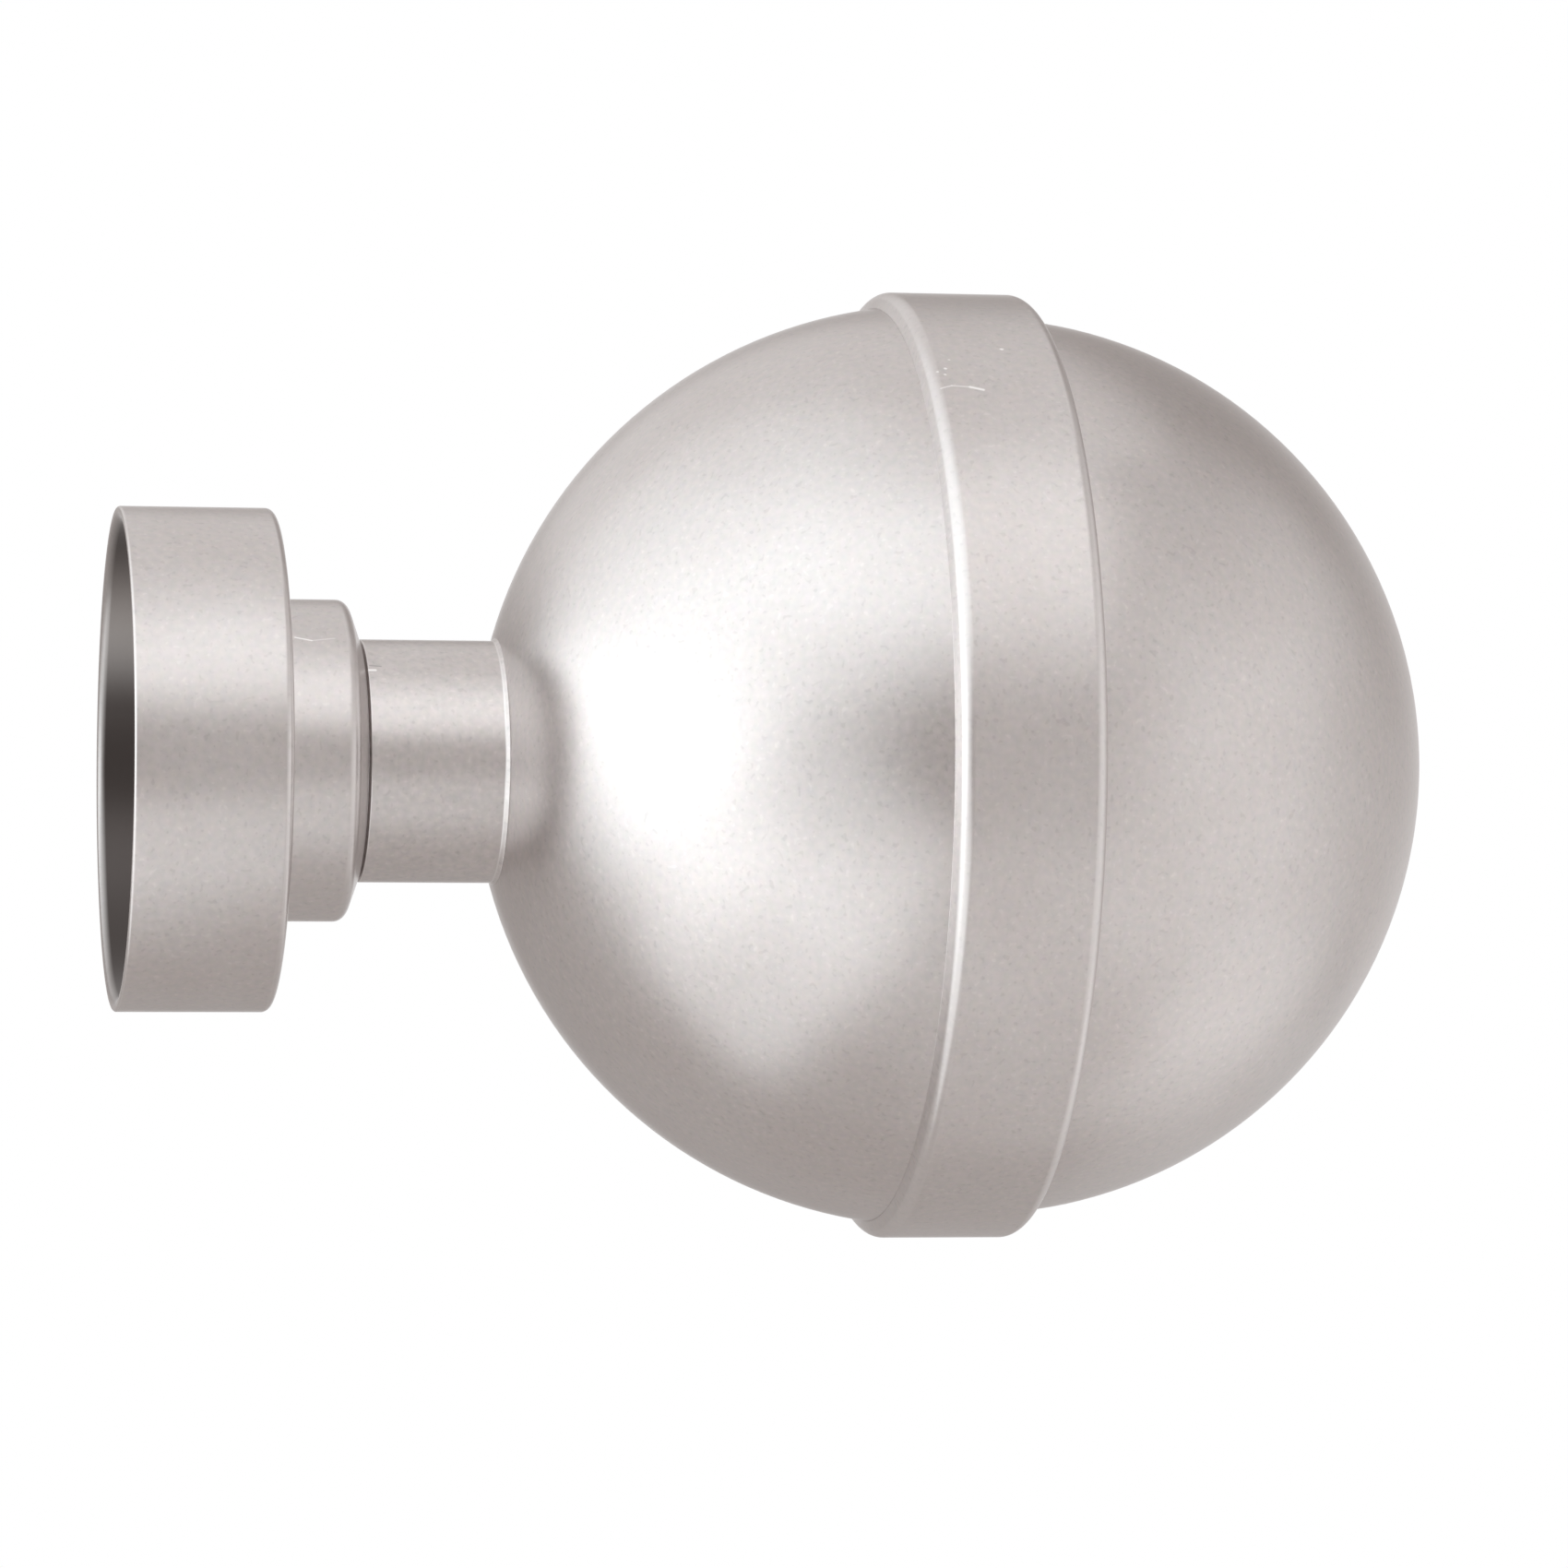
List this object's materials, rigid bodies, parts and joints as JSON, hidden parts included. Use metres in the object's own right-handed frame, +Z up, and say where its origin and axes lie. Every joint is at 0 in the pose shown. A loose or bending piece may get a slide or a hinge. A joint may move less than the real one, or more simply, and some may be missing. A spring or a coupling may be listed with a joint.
{
  "type": "curtain pole finial",
  "caption": "Ball finial for a curtain pole: a hollow ball with a raised band round its middle, on a short neck and collar, with a cup that goes over the pole's end.",
  "frame": {"origin": "centre of the face inside the socket that the pole's end butts against", "axes": "+X along the pole's axis towards the ball, +Z up, the pole leaves towards -X"},
  "size_m": [0.0789, 0.057, 0.057],
  "materials": {
    "satin_nickel": "satin nickel plate with a fine matt grain",
    "zinc_plate": "bright zinc plate"
  },
  "bodies": {
    "root": {"socket_cup": "satin_nickel", "collar_cap": "satin_nickel", "neck_spacer": "satin_nickel", "rear_half_ball": "satin_nickel", "front_half_ball": "satin_nickel", "equator_band": "satin_nickel", "tie_screw": "zinc_plate", "spring_washer": "zinc_plate", "weld_nut": "zinc_plate"}
  },
  "joints": []
}
